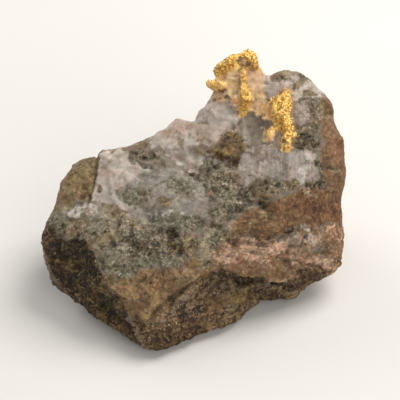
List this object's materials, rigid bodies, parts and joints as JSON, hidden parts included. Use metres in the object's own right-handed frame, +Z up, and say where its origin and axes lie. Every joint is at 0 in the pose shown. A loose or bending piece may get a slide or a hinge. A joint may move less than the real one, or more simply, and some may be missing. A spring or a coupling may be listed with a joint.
{
  "type": "gold in quartz specimen",
  "caption": "Hand-sized lump of milky quartz and brown wall rock with native gold on its knob and in seams; it rests on a flat underside.",
  "frame": {"origin": "bottom centre of the bounding box, on the plane of the flat underside", "axes": "+X along the length of the stone, from its low dark end to its high end with the gold; +Y away from the side on which the quartz and the gold are exposed; +Z up"},
  "size_m": [0.0682, 0.0526, 0.0478],
  "materials": {
    "stone": "rough broken milky quartz with green, brown and dark patches of wall rock",
    "gold": "granular native gold"
  },
  "bodies": {
    "root": {"stone": "stone", "gold_crest": "gold", "gold_nubbin": "gold", "gold_streak": "gold", "gold_cluster": "gold", "gold_fleck": "gold"}
  },
  "joints": []
}
